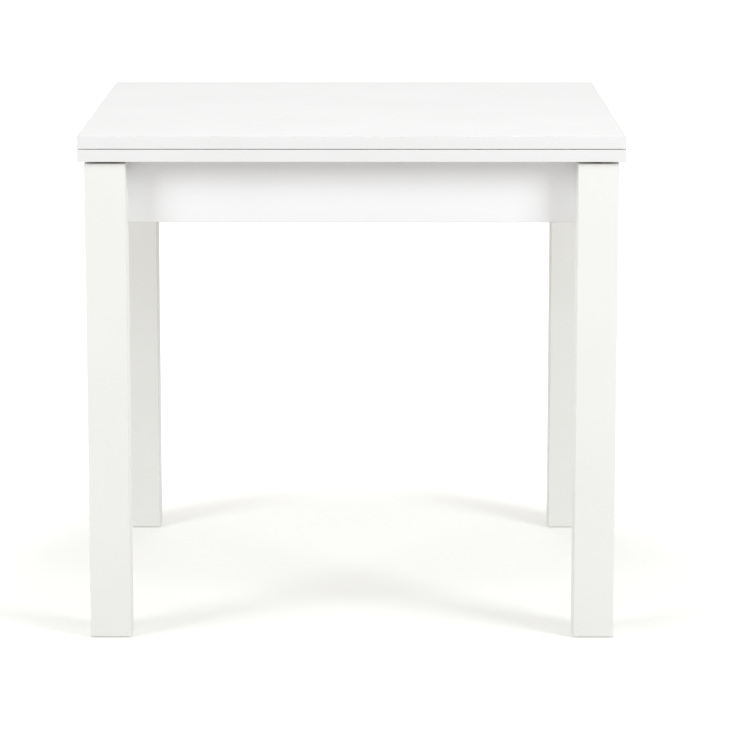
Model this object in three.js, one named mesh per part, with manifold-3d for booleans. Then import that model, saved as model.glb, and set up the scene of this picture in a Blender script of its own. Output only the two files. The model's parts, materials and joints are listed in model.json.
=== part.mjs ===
// A square fold-over dining table. Its top is two equal boards, hinged like a book along the back edge.
// The whole top swivels a quarter turn on an off-centre stud, and the upper board, the leaf, then opens
// out flat beside the lower one, so the open top is twice as long and lies centred on the frame.
//
// Millimetres. +X is to the right, +Y to the back, where the boards are hinged, and +Z is up.
// The origin is on the floor under the middle of the closed top.
import * as THREE from "three";
import { mergeVertices } from "three/addons/utils/BufferGeometryUtils.js";
import Module from "manifold-3d";

// Neighbours that touch share a face. On this grid a 32-bit number holds every such face exactly.
const GRID = 1 / 32;
const grid = (length) => Math.round(length / GRID) * GRID;

// Overall sizes
const TOP_WIDTH = grid(800);
const TOP_DEPTH = grid(800);
const TABLE_HEIGHT = grid(755);

// The two boards of the top
const BOARD = grid(18);
const BAND = grid(1); // edge banding
const SEAM = grid(1); // between the closed boards
const SWIVEL_GAP = grid(4); // between frame and lower board

// Frame
const LEG = grid(60);
const LEG_INSET = grid(9); // from the top's edge to a leg's face
const APRON_HEIGHT = grid(92);
const APRON_THICKNESS = grid(18);

// Every fastener, bush and inlaid fitting keeps this much room round it
const CLEARANCE = 0.3;

// A cutter runs this far past the face that it opens
const PAST = 1;

// Foot glides
const GLIDE_RADIUS = 12;
const GLIDE_THICKNESS = grid(2);
const GLIDE_SPIGOT_RADIUS = 3;
const GLIDE_SPIGOT_LENGTH = 16;
const GLIDE_SPIGOT_TAPER = 2;

// Corner brackets: folded steel that crosses each corner and hooks into a saw kerf in both aprons
const BRACKET_STEEL = 2;
const BRACKET_HEIGHT = 50;
const BRACKET_REACH = 48; // from the corner to where the diagonal meets an apron
const BRACKET_KERF = 70; // from the corner to the kerf
const KERF_DEPTH = 6;
const HOOK_SHORT = 1; // how far a hook stops short of its kerf's bottom

// Hanger bolts that pull each leg into its corner
const BOLT_RADIUS = 4;
const BOLT_IN_LEG = 40;
const BOLT_BEYOND_BRACKET = 14;
const BOLT_CHAMFER = 1;
const NUT_FLANGE_RADIUS = 9;
const NUT_FLANGE = 2;
const NUT_HEX_RADIUS = 7.5;
const NUT_HEIGHT = 9;

// Glide pads on the aprons' top edges
const PAD_RADIUS = 8;
const PAD_SPREAD = 180; // from the middle of the front and back aprons

// Pivot rail, let into both side aprons
const RAIL_WIDTH = grid(100);
const RAIL_THICKNESS = grid(22);
const RAIL_HOUSING = grid(6);

// Swivel: stud, bush, plate, washer and lock nut
const STUD_RADIUS = 6;
const BUSH_WALL = 2.7;
const BUSH_FLANGE_RADIUS = 17;
const BUSH_FLANGE = grid(1.25);
const PLATE_SIZE = 120;
const PLATE_STEEL = grid(2.5);
const PLATE_CORNER = 8;
const PLATE_SCREW_AT = 46; // from the stud's axis, along X and along Y
const WASHER_RADIUS = 15;
const WASHER_THICKNESS = grid(2);
const LOCK_NUT_RADIUS = 11;
const LOCK_NUT_HEIGHT = grid(10);
const NUT_PLAY = grid(0.5); // between rail and washer, so the top turns freely
const STUD_BEYOND_NUT = 3;

// The stop pin stands in the rail and runs in a quarter-turn slot in the plate
const STOP_RADIUS = 3;
const STOP_ORBIT = 36;
const STOP_IN_RAIL = 15;
const STOP_PLAY = 0.5;
const SWIVEL_ANGLE = Math.PI / 2;

// Screws in the swivel plate
const PLATE_SCREW = { head: 4, shank: 1.75, length: 14, sink: PLATE_STEEL };

// A screw's cross recess, as shares of its head's radius and height
const RECESS_LENGTH = 1.1;
const RECESS_WIDTH = 0.24;
const RECESS_DEPTH = 0.6;

// Edge hinges: plates let into the boards' back edges, on a pin level with the seam
const HINGE_FROM_MIDDLE = grid(280);
const HINGE_LENGTH = 60;
const HINGE_STEEL = grid(1.5);
const HINGE_PLATE = grid(15); // from the pin's axis to the plate's far edge
const HINGE_PLATE_NEAR = 1; // from the pin's axis to the plate's near edge, inside the knuckle
const KNUCKLE_RADIUS = 2.3;
const MIDDLE_KNUCKLE = 28;
const PIN_RADIUS = 1;
const PIN_PLAY = 0.15;
const HINGE_SCREW_SPREAD = 18;
const HINGE_SCREW_AT = 9; // from the pin's axis
const HINGE_SCREW = { head: 2.9, shank: 1.3, length: 14, sink: HINGE_STEEL };

// Bumper dots under the leaf's free corners
const BUMPER_RADIUS = 4;
const BUMPER_FROM_EDGE = 30;

// Heights, from the top down
const leafBottom = TABLE_HEIGHT - BOARD;
const lowerBoardTop = leafBottom - SEAM;
const lowerBoardBottom = lowerBoardTop - BOARD;
const frameTop = lowerBoardBottom - SWIVEL_GAP;
const apronBottom = frameTop - APRON_HEIGHT;
const railBottom = frameTop - RAIL_THICKNESS;

// The clear rectangle between the legs' inner faces
const innerX = TOP_WIDTH / 2 - LEG_INSET - LEG;
const innerY = TOP_DEPTH / 2 - LEG_INSET - LEG;

// A quarter turn about this point brings the hinged edge to the middle of the frame
const pivot = grid(TOP_DEPTH / 4);

// The hinge pins' axis: level with the middle of the seam, and half a seam outside the back edge
const foldY = TOP_DEPTH / 2 + SEAM / 2;
const foldZ = leafBottom - SEAM / 2;

// Brackets and their bolts sit midway below the pivot rail
const boltHeight = (apronBottom + railBottom) / 2;

const material = (color, roughness, metalness = 0) =>
  new THREE.MeshStandardMaterial({ color, roughness, metalness });
const topLaminate = material(0xf6f6f5, 0.38);
const topBand = material(0xf2f1f0, 0.45);
const apronLaminate = material(0xf6f6f5, 0.42);
const legFoil = material(0xf3f3ee, 0.48);
const glidePlastic = material(0xd9d8d2, 0.55);
const beech = material(0xd9b98c, 0.6);
const nylon = material(0xece9e0, 0.5);
const felt = material(0x8c8b88, 0.95);
const zincSteel = material(0xb9bcc0, 0.35, 1);
const hingeSteel = material(0xc6c8ca, 0.3, 1);
const clearRubber = material(0xe9eceb, 0.3);

const wasm = await Module();
wasm.setup();

// A closed geometry as a solid that can be cut and joined
function solid(geometry) {
  const bare = geometry.clone();
  bare.deleteAttribute("normal");
  bare.deleteAttribute("uv");
  const merged = mergeVertices(bare, 1e-4);
  return new wasm.Manifold(
    new wasm.Mesh({
      numProp: 3,
      vertProperties: merged.attributes.position.array,
      triVerts: new Uint32Array(merged.index.array),
    }),
  );
}

function geometryOf(body) {
  const { vertProperties, triVerts } = body.getMesh();
  const shared = new THREE.BufferGeometry();
  shared.setAttribute("position", new THREE.BufferAttribute(vertProperties, 3));
  shared.setIndex(new THREE.BufferAttribute(triVerts, 1));
  const flat = shared.toNonIndexed();
  flat.computeVertexNormals();
  return flat;
}

const cut = (geometry, tools) =>
  geometryOf(tools.reduce((body, tool) => body.subtract(solid(tool)), solid(geometry)));

const join = (geometry, others) =>
  geometryOf(others.reduce((body, other) => body.add(solid(other)), solid(geometry)));

// A box between two corners
function block([x0, y0, z0], [x1, y1, z1]) {
  const box = new THREE.BoxGeometry(x1 - x0, y1 - y0, z1 - z0);
  return box.translate((x0 + x1) / 2, (y0 + y1) / 2, (z0 + z1) / 2);
}

const SEGMENTS = 24;

// A round bar along Z, X or Y, from one height to another on its axis
const barZ = (radius, from, to, segments = SEGMENTS) =>
  new THREE.CylinderGeometry(radius, radius, to - from, segments)
    .rotateX(Math.PI / 2)
    .translate(0, 0, (from + to) / 2);
const barX = (radius, from, to) => barZ(radius, from, to).rotateY(Math.PI / 2);

// A turned solid or ring about Z, from its half-section as [radius, height] points, going upwards outside
const turned = (section, segments = SEGMENTS) =>
  new THREE.LatheGeometry(
    section.map(([r, z]) => new THREE.Vector2(r, z)),
    segments,
  ).rotateX(Math.PI / 2);

const ring = (inner, outer, from, to) =>
  turned([
    [inner, from],
    [outer, from],
    [outer, to],
    [inner, to],
    [inner, from],
  ]);

function piece(name, geometry, finish, [x, y, z] = [0, 0, 0]) {
  const mesh = new THREE.Mesh(geometry, finish);
  mesh.name = name;
  mesh.position.set(x, y, z);
  return mesh;
}

// A group at a point, turned about the vertical
function place([x, y, z], turn, pieces) {
  const group = new THREE.Group();
  group.position.set(x, y, z);
  group.rotation.z = turn;
  group.add(...pieces);
  return group;
}

// Countersunk screws point down: the head's flat face is at height 0 and the tip below it

const SCREW_SEGMENTS = 16;

function screwSection({ head, shank, length, sink }, room) {
  return [
    [0, -length - room],
    [shank + room, -length + shank - room],
    [shank + room, -sink],
    [head + room, 0],
    [0, 0],
  ];
}

function screw(size) {
  const long = (size.head * RECESS_LENGTH) / 2;
  const wide = (size.head * RECESS_WIDTH) / 2;
  const depth = size.sink * RECESS_DEPTH;
  return cut(turned(screwSection(size, 0), SCREW_SEGMENTS), [
    block([-long, -wide, -depth], [long, wide, PAST]),
    block([-wide, -long, -depth], [wide, long, PAST]),
  ]);
}

// What a screw needs in the pieces it passes through, open a little above its head
function screwHole(size) {
  const section = screwSection(size, CLEARANCE);
  section[section.length - 1] = [size.head + CLEARANCE, PAST];
  section.push([0, PAST]);
  return turned(section, SCREW_SEGMENTS);
}

// One corner of the frame, in its own axes: the leg's inner edge is the Z axis, and the aprons run
// away from it along +X and +Y with their inner faces on the axes' planes

const toDiagonal = (geometry, away, height) =>
  geometry
    .rotateY(Math.PI / 2)
    .rotateZ(Math.PI / 4)
    .translate(away * Math.SQRT1_2, away * Math.SQRT1_2, height);

const bracketFace = BRACKET_REACH * Math.SQRT1_2;

// The bolt's hole, which also grazes the ends of both aprons
const boltHole = () =>
  toDiagonal(barZ(BOLT_RADIUS + CLEARANCE, -BOLT_IN_LEG - PAST, LEG), 0, boltHeight);

function legGeometry() {
  const body = block([-LEG, -LEG, GLIDE_THICKNESS], [0, 0, frameTop]);
  const spigotHole = barZ(
    GLIDE_SPIGOT_RADIUS + CLEARANCE,
    0,
    GLIDE_THICKNESS + GLIDE_SPIGOT_LENGTH + CLEARANCE,
  ).translate(-LEG / 2, -LEG / 2, 0);
  return cut(body, [boltHole(), spigotHole]);
}

function glideGeometry() {
  const edge = GLIDE_THICKNESS / 2;
  return turned([
    [0, 0],
    [GLIDE_RADIUS - edge, 0],
    [GLIDE_RADIUS, edge],
    [GLIDE_RADIUS, GLIDE_THICKNESS],
    [GLIDE_SPIGOT_RADIUS, GLIDE_THICKNESS],
    [GLIDE_SPIGOT_RADIUS, GLIDE_THICKNESS + GLIDE_SPIGOT_LENGTH - GLIDE_SPIGOT_TAPER],
    [0, GLIDE_THICKNESS + GLIDE_SPIGOT_LENGTH],
  ]);
}

function bracketGeometry() {
  const steel = BRACKET_STEEL;
  const gap = CLEARANCE;
  const hook = KERF_DEPTH - HOOK_SHORT;
  const bend = steel * Math.tan(Math.PI / 8);
  // Half of the folded strip, from its hook to the diagonal: outer side, then inner side
  const outer = [
    [BRACKET_KERF, -hook],
    [BRACKET_KERF, gap],
    [BRACKET_REACH, gap],
  ];
  const inner = [
    [BRACKET_REACH + bend, gap + steel],
    [BRACKET_KERF + steel, gap + steel],
    [BRACKET_KERF + steel, -hook],
  ];
  const swap = ([x, y]) => [y, x];
  const outline = [
    ...outer,
    ...outer.map(swap).reverse(),
    ...inner.map(swap).reverse(),
    ...inner,
  ];
  const shape = new THREE.Shape(outline.map(([x, y]) => new THREE.Vector2(x, y)));
  const strip = new THREE.ExtrudeGeometry(shape, { depth: BRACKET_HEIGHT, bevelEnabled: false });
  strip.translate(0, 0, boltHeight - BRACKET_HEIGHT / 2);
  const hole = toDiagonal(
    barZ(BOLT_RADIUS + CLEARANCE, -PAST, steel + gap + PAST),
    bracketFace,
    boltHeight,
  );
  return cut(strip, [hole]);
}

function boltGeometry() {
  const tip = BOLT_RADIUS / 2;
  const end = bracketFace + BRACKET_STEEL + BOLT_BEYOND_BRACKET;
  return turned([
    [0, -BOLT_IN_LEG],
    [BOLT_RADIUS - tip, -BOLT_IN_LEG],
    [BOLT_RADIUS, -BOLT_IN_LEG + tip],
    [BOLT_RADIUS, end - BOLT_CHAMFER],
    [BOLT_RADIUS - BOLT_CHAMFER, end],
    [0, end],
  ]);
}

// A hexagonal nut on a round flange, bored for its stud
function nutGeometry(bore, flangeRadius, flange, hexRadius, height) {
  const hexagon = barZ(hexRadius, flange / 2, height, 6);
  const disc = barZ(flangeRadius, 0, flange);
  return cut(join(disc, [hexagon]), [barZ(bore, -PAST, height + PAST)]);
}

const legShape = legGeometry();
const glideShape = glideGeometry();
const bracketShape = bracketGeometry();
const boltShape = boltGeometry();
const flangeNutShape = nutGeometry(
  BOLT_RADIUS + CLEARANCE,
  NUT_FLANGE_RADIUS,
  NUT_FLANGE,
  NUT_HEX_RADIUS,
  NUT_HEIGHT,
);

const corners = [
  { name: "front_left", at: [-innerX, -innerY, 0], turn: 0 },
  { name: "front_right", at: [innerX, -innerY, 0], turn: Math.PI / 2 },
  { name: "back_right", at: [innerX, innerY, 0], turn: Math.PI },
  { name: "back_left", at: [-innerX, innerY, 0], turn: -Math.PI / 2 },
];

function cornerPieces({ name, at, turn }) {
  const leg = piece(`leg_${name}`, legShape, legFoil);
  const glide = piece(`foot_glide_${name}`, glideShape, glidePlastic, [-LEG / 2, -LEG / 2, 0]);
  const bracket = piece(`corner_bracket_${name}`, bracketShape, zincSteel);
  const bolt = piece(`hanger_bolt_${name}`, boltShape, zincSteel);
  const nut = piece(`flange_nut_${name}`, flangeNutShape, zincSteel);
  const nutAway = bracketFace + BRACKET_STEEL + 2 * CLEARANCE;
  for (const [part, away] of [
    [bolt, 0],
    [nut, nutAway],
  ]) {
    part.position.set(away * Math.SQRT1_2, away * Math.SQRT1_2, boltHeight);
    part.rotation.set(0, Math.PI / 2, 0);
    part.rotation.order = "ZYX";
    part.rotation.z = Math.PI / 4;
  }
  return place(at, turn, [leg, glide, bracket, bolt, nut]);
}

// One side of the frame, in its own axes: the apron runs along X with its inner face on y = 0

const padHeight = SWIVEL_GAP - CLEARANCE;

function apronGeometry(halfLength, housingAt) {
  const board = block([-halfLength, -APRON_THICKNESS, apronBottom], [halfLength, 0, frameTop]);
  const kerfs = [-1, 1].map((side) => {
    const near = halfLength - BRACKET_KERF + CLEARANCE;
    const far = near - BRACKET_STEEL - 2 * CLEARANCE;
    const [x0, x1] = side < 0 ? [-near, -far] : [far, near];
    return block([x0, -KERF_DEPTH, apronBottom - PAST], [x1, PAST, frameTop + PAST]);
  });
  const boltHoles = [
    boltHole().translate(-halfLength, 0, 0),
    boltHole()
      .rotateZ(Math.PI / 2)
      .translate(halfLength, 0, 0),
  ];
  const housing = block(
    [housingAt - RAIL_WIDTH / 2, -RAIL_HOUSING, railBottom],
    [housingAt + RAIL_WIDTH / 2, PAST, frameTop + PAST],
  );
  return cut(board, [...kerfs, ...boltHoles, ...(housingAt ? [housing] : [])]);
}

const padShape = barZ(PAD_RADIUS, 0, padHeight);

const sides = [
  { name: "front", at: [0, -innerY, 0], turn: 0, half: innerX, housing: 0, pads: [-1, 1] },
  { name: "right", at: [innerX, 0, 0], turn: Math.PI / 2, half: innerY, housing: pivot, pads: [0] },
  { name: "back", at: [0, innerY, 0], turn: Math.PI, half: innerX, housing: 0, pads: [-1, 1] },
  { name: "left", at: [-innerX, 0, 0], turn: -Math.PI / 2, half: innerY, housing: -pivot, pads: [0] },
];

function sidePieces({ name, at, turn, half, housing, pads }) {
  const apron = piece(`apron_${name}`, apronGeometry(half, housing), apronLaminate);
  const padPieces = pads.map((side, i) =>
    piece(`glide_pad_${name}_${i + 1}`, padShape, felt, [
      side * PAD_SPREAD,
      -APRON_THICKNESS / 2,
      frameTop,
    ]),
  );
  return place(at, turn, [apron, ...padPieces]);
}

// The pivot: what stays with the frame

const bushOuter = STUD_RADIUS + CLEARANCE + BUSH_WALL;

function railGeometry() {
  const reach = innerX + RAIL_HOUSING;
  const board = block(
    [-reach, pivot - RAIL_WIDTH / 2, railBottom],
    [reach, pivot + RAIL_WIDTH / 2, frameTop],
  );
  const bushHole = barZ(bushOuter + CLEARANCE, railBottom - PAST, frameTop + PAST);
  const stopHole = barZ(
    STOP_RADIUS + CLEARANCE,
    frameTop - STOP_IN_RAIL - CLEARANCE,
    frameTop + PAST,
  );
  return cut(board, [
    bushHole.translate(pivot, pivot, 0),
    stopHole.translate(pivot + STOP_ORBIT, pivot, 0),
  ]);
}

function bushGeometry() {
  const bore = STUD_RADIUS + CLEARANCE;
  return turned([
    [bore, railBottom],
    [bushOuter, railBottom],
    [bushOuter, frameTop],
    [BUSH_FLANGE_RADIUS, frameTop],
    [BUSH_FLANGE_RADIUS, frameTop + BUSH_FLANGE],
    [bore, frameTop + BUSH_FLANGE],
    [bore, railBottom],
  ]);
}

const stopPinGeometry = () =>
  barZ(STOP_RADIUS, frameTop - STOP_IN_RAIL, lowerBoardBottom - CLEARANCE);

// The pivot: what turns with the top

const plateBottom = lowerBoardBottom - PLATE_STEEL;
const washerTop = railBottom - NUT_PLAY;
const nutTop = washerTop - WASHER_THICKNESS;
const nutBottom = nutTop - LOCK_NUT_HEIGHT;

const plateScrews = [
  [-1, -1],
  [1, -1],
  [1, 1],
  [-1, 1],
].map(([x, y]) => [x * PLATE_SCREW_AT, y * PLATE_SCREW_AT]);

// The plate's outline, with the slot that the stop pin runs along as the plate turns
function plateShape() {
  const half = PLATE_SIZE / 2;
  const straight = half - PLATE_CORNER;
  const shape = new THREE.Shape();
  [0, 1, 2, 3].forEach((quarter) => {
    const from = (quarter * Math.PI) / 2;
    const x = quarter === 0 || quarter === 3 ? straight : -straight;
    const y = quarter < 2 ? straight : -straight;
    shape.absarc(x, y, PLATE_CORNER, from, from + Math.PI / 2, false);
  });
  const width = STOP_RADIUS + STOP_PLAY;
  const last = -SWIVEL_ANGLE;
  const slot = new THREE.Path();
  slot.absarc(0, 0, STOP_ORBIT + width, last, 0, false);
  slot.absarc(STOP_ORBIT, 0, width, 0, Math.PI, false);
  slot.absarc(0, 0, STOP_ORBIT - width, 0, last, true);
  const end = [STOP_ORBIT * Math.cos(last), STOP_ORBIT * Math.sin(last)];
  slot.absarc(...end, width, last + Math.PI, last + 2 * Math.PI, false);
  shape.holes.push(slot);
  return shape;
}

function swivelPlateGeometry() {
  const plate = new THREE.ExtrudeGeometry(plateShape(), {
    depth: PLATE_STEEL,
    bevelEnabled: false,
    curveSegments: 8,
  }).translate(0, 0, plateBottom);
  const stud = barZ(STUD_RADIUS, nutBottom - STUD_BEYOND_NUT, plateBottom + PLATE_STEEL / 2);
  const holes = plateScrews.map(([x, y]) =>
    screwHole(PLATE_SCREW).rotateX(Math.PI).translate(x, y, plateBottom),
  );
  return cut(join(plate, [stud]), holes);
}

function pivotOnFrame() {
  return place([pivot, pivot, 0], 0, [
    piece("pivot_bush", bushGeometry(), nylon),
    piece("stop_pin", stopPinGeometry(), zincSteel, [STOP_ORBIT, 0, 0]),
  ]);
}

function pivotOnTop() {
  const bore = STUD_RADIUS + CLEARANCE;
  const washer = ring(bore, WASHER_RADIUS, nutTop, washerTop);
  const lockNut = cut(barZ(LOCK_NUT_RADIUS, nutBottom, nutTop, 6), [
    barZ(bore, nutBottom - PAST, nutTop + PAST),
  ]);
  const screwShape = screw(PLATE_SCREW).rotateX(Math.PI);
  const screws = plateScrews.map(([x, y], i) =>
    piece(`plate_screw_${i + 1}`, screwShape, zincSteel, [x, y, plateBottom]),
  );
  return place([pivot, pivot, 0], 0, [
    piece("swivel_plate", swivelPlateGeometry(), zincSteel),
    piece("pivot_washer", washer, zincSteel),
    piece("pivot_lock_nut", lockNut, zincSteel),
    ...screws,
  ]);
}

// Hinges, in their own axes: the pin is the X axis, the boards lie behind y = -SEAM / 2,
// the lower one below the pin. An upper piece is a lower one turned half round the Y axis.

const edgeFace = -SEAM / 2;
const hingeHalf = HINGE_LENGTH / 2;
const middleHalf = MIDDLE_KNUCKLE / 2;
const outerKnuckles = [
  [-hingeHalf, -middleHalf - CLEARANCE],
  [middleHalf + CLEARANCE, hingeHalf],
];
const middleKnuckle = [[-middleHalf, middleHalf]];
const hingeScrews = [-HINGE_SCREW_SPREAD, HINGE_SCREW_SPREAD];

// Puts a screw, or its hole, in a hinge plate below the pin
const inHingePlate = (geometry, x) =>
  geometry.rotateX(-Math.PI / 2).translate(x, edgeFace, -HINGE_SCREW_AT);

function hingePlateGeometry(ownKnuckles, otherKnuckles) {
  const flat = block(
    [-hingeHalf, edgeFace - HINGE_STEEL, -HINGE_PLATE],
    [hingeHalf, edgeFace, -HINGE_PLATE_NEAR],
  );
  const knuckles = ownKnuckles.map(([from, to]) => barX(KNUCKLE_RADIUS, from, to));
  const room = otherKnuckles.map(([from, to]) =>
    barX(KNUCKLE_RADIUS + CLEARANCE, from - CLEARANCE, to + CLEARANCE),
  );
  const bore = barX(PIN_RADIUS + PIN_PLAY, -hingeHalf - PAST, hingeHalf + PAST);
  const holes = hingeScrews.map((x) => inHingePlate(screwHole(HINGE_SCREW), x));
  return cut(join(cut(flat, room), knuckles), [bore, ...holes]);
}

// What a board and its banding lose to a hinge
function hingeRecess() {
  const half = hingeHalf + CLEARANCE;
  return [
    block([-half, edgeFace - HINGE_STEEL, -HINGE_PLATE - CLEARANCE], [half, PAST, PAST]),
    barX(KNUCKLE_RADIUS + CLEARANCE, -half, half),
    ...hingeScrews.map((x) => inHingePlate(screwHole(HINGE_SCREW), x)),
  ];
}

const toUpper = (geometry) => geometry.rotateY(Math.PI);
const hingePlaces = [-HINGE_FROM_MIDDLE, HINGE_FROM_MIDDLE];
const hingeNames = ["left", "right"];

// Each body of the top gets its own share of both hinges
const hingeGroups = (share) =>
  hingePlaces.map((x, i) => place([x, foldY, foldZ], 0, share(hingeNames[i])));

const lowerPlateShape = hingePlateGeometry(outerKnuckles, middleKnuckle);
const upperPlateShape = toUpper(hingePlateGeometry(middleKnuckle, outerKnuckles));
const lowerScrewShape = inHingePlate(screw(HINGE_SCREW), 0);
const upperScrewShape = toUpper(inHingePlate(screw(HINGE_SCREW), 0));
const pinShape = barX(PIN_RADIUS, -hingeHalf, hingeHalf);

const hingeScrewPieces = (which, name, shape) =>
  hingeScrews.map((x, i) =>
    piece(`hinge_screw_${which}_${name}_${i + 1}`, shape, hingeSteel, [x, 0, 0]),
  );

const lowerHingeShare = (name) => [
  piece(`hinge_lower_plate_${name}`, lowerPlateShape, hingeSteel),
  piece(`hinge_pin_${name}`, pinShape, hingeSteel),
  ...hingeScrewPieces("lower", name, lowerScrewShape),
];

const upperHingeShare = (name) => [
  piece(`hinge_upper_plate_${name}`, upperPlateShape, hingeSteel),
  ...hingeScrewPieces("upper", name, upperScrewShape),
];

// The two boards of the top, each a core with a band round its edges

const hingeRecesses = (turn) =>
  hingePlaces.flatMap((x) => hingeRecess().map((tool) => turn(tool).translate(x, foldY, foldZ)));

const topCorner = [TOP_WIDTH / 2, TOP_DEPTH / 2];

function coreGeometry(bottom, cuts) {
  const [x, y] = topCorner.map((half) => half - BAND);
  return cut(block([-x, -y, bottom], [x, y, bottom + BOARD]), cuts);
}

function bandGeometry(bottom, cuts) {
  const [x, y] = topCorner;
  const inside = block(
    [BAND - x, BAND - y, bottom - PAST],
    [x - BAND, y - BAND, bottom + BOARD + PAST],
  );
  return cut(block([-x, -y, bottom], [x, y, bottom + BOARD]), [inside, ...cuts]);
}

function lowerBoard() {
  const recesses = hingeRecesses((tool) => tool);
  const screwHoles = plateScrews.map(([x, y]) =>
    screwHole(PLATE_SCREW).rotateX(Math.PI).translate(pivot + x, pivot + y, plateBottom),
  );
  return [
    piece("lower_board", coreGeometry(lowerBoardBottom, [...recesses, ...screwHoles]), topLaminate),
    piece("lower_edge_band", bandGeometry(lowerBoardBottom, recesses), topBand),
  ];
}

const bumperHeight = SEAM - CLEARANCE;

function leaf() {
  const recesses = hingeRecesses(toUpper);
  const bumper = barZ(BUMPER_RADIUS, -bumperHeight, 0);
  const bumpers = hingeNames.map((name, i) =>
    piece(`bumper_${name}`, bumper, clearRubber, [
      (2 * i - 1) * (TOP_WIDTH / 2 - BUMPER_FROM_EDGE),
      BUMPER_FROM_EDGE - TOP_DEPTH / 2,
      leafBottom,
    ]),
  );
  return [
    piece("leaf_board", coreGeometry(leafBottom, recesses), topLaminate),
    piece("leaf_edge_band", bandGeometry(leafBottom, recesses), topBand),
    ...bumpers,
  ];
}

const table = new THREE.Group();
table.add(...corners.map(cornerPieces), ...sides.map(sidePieces));
table.add(piece("pivot_rail", railGeometry(), beech), pivotOnFrame(), pivotOnTop());
table.add(...lowerBoard(), ...hingeGroups(lowerHingeShare));
table.add(...leaf(), ...hingeGroups(upperHingeShare));

export default table;
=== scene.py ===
# %% [markdown]
# # A fold-over dining table
#
# The table has two equal boards on top of each other, hinged like a book along the back edge. The top
# swivels a quarter turn on a stud that stands off centre, and then the upper board opens out flat. The
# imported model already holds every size, place and joint, so this lesson only gives each piece its
# finished shape and surface. Each step says what the real piece is like and why it is made this way.

# %% Load the frame
import json
import math

import bmesh
import bpy
from mathutils import Matrix, Vector
from mathutils import noise as lumps


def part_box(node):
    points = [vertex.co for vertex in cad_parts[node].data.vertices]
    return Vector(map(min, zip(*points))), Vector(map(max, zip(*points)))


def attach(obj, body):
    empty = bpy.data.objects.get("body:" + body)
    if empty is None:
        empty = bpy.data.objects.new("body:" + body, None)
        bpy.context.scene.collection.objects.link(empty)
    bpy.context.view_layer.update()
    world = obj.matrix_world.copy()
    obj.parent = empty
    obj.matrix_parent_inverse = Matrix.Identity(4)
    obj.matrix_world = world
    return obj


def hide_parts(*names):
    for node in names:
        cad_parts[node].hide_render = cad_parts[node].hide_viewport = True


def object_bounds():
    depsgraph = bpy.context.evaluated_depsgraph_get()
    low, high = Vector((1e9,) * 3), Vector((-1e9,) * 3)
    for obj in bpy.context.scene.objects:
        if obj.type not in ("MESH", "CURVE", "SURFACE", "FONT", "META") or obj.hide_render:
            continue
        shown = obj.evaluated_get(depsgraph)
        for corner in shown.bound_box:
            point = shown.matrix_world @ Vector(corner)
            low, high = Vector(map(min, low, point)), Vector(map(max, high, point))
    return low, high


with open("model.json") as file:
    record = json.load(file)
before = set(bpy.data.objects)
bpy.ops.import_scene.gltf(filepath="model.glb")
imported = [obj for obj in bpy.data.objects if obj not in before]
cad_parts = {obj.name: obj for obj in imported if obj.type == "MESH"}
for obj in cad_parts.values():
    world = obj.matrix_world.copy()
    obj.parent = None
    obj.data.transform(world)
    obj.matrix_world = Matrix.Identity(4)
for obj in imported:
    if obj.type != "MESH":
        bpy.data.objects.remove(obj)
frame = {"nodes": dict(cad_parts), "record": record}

cad_low, cad_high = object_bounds()
print("table", [round(v, 4) for v in cad_high - cad_low], "nodes", len(frame["nodes"]))

MM = 0.001
CORNERS = ("front_left", "front_right", "back_left", "back_right")
SIDES = ("front", "right", "back", "left")
ENDS = ("left", "right")


# %% [markdown]
# ## The camera
#
# A long lens from a few metres away keeps the square top nearly square. The camera stands a little above
# the top's height and tips down, so the top shows as a thin slice and all four legs can be seen. Its place
# is given from the table's front edge and centre line, so it would follow a table of another size.

# %% Place the camera
LENS = 167.7
SENSOR = 36
CAMERA_AWAY = 4.927
CAMERA_ABOVE_TOP = 0.5715
CAMERA_RIGHT = 0.0265
CAMERA_TIP = 10.456
CAMERA_TURN = 0.082


def make_camera():
    lens = bpy.data.cameras.new("camera")
    lens.lens = LENS
    lens.sensor_width = SENSOR
    camera = bpy.data.objects.new("camera", lens)
    camera.location = (CAMERA_RIGHT, cad_low.y - CAMERA_AWAY, cad_high.z + CAMERA_ABOVE_TOP)
    camera.rotation_euler = (math.radians(90 - CAMERA_TIP), 0, math.radians(CAMERA_TURN))
    bpy.context.scene.collection.objects.link(camera)
    bpy.context.scene.camera = camera
    print("camera at", [round(v, 3) for v in camera.location])


make_camera()


# %% [markdown]
# ## Shader maths as expressions
#
# A finish is easier to read as arithmetic than as a list of nodes and links. `Value` wraps one output
# socket, and Python's operators on it add Math nodes. `Finish` holds one material. Its `node` method adds
# every node, and its `mix` method blends colours, because a Math node would turn a colour grey. A Mix node
# has a set of sockets for each kind of value, so the ones for colours are named by their numbers.

# %% Values and finishes
MIX_MASK, MIX_FIRST, MIX_SECOND, MIX_RESULT = 0, 6, 7, 2


class Value:
    """A number or colour that varies over a surface."""

    def __init__(self, finish, socket):
        self.finish = finish
        self.socket = socket

    def math(self, operation, *inputs):
        return self.finish.node("Math", {"operation": operation}, enumerate(inputs))

    def __add__(self, other):
        return self.math("ADD", self, other)

    def __sub__(self, other):
        return self.math("SUBTRACT", self, other)

    def __rsub__(self, other):
        return self.math("SUBTRACT", other, self)

    def __mul__(self, other):
        return self.math("MULTIPLY", self, other)

    def __pow__(self, other):
        return self.math("POWER", self, other)

    def sine(self):
        return self.math("SINE", self)

    def smooth(self, low, high):
        """0 at low, 1 at high and a soft step between."""
        sockets = enumerate((self, low, high, 0, 1))
        return self.finish.node("MapRange", {"interpolation_type": "SMOOTHSTEP"}, sockets)

    __radd__ = __add__
    __rmul__ = __mul__


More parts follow.
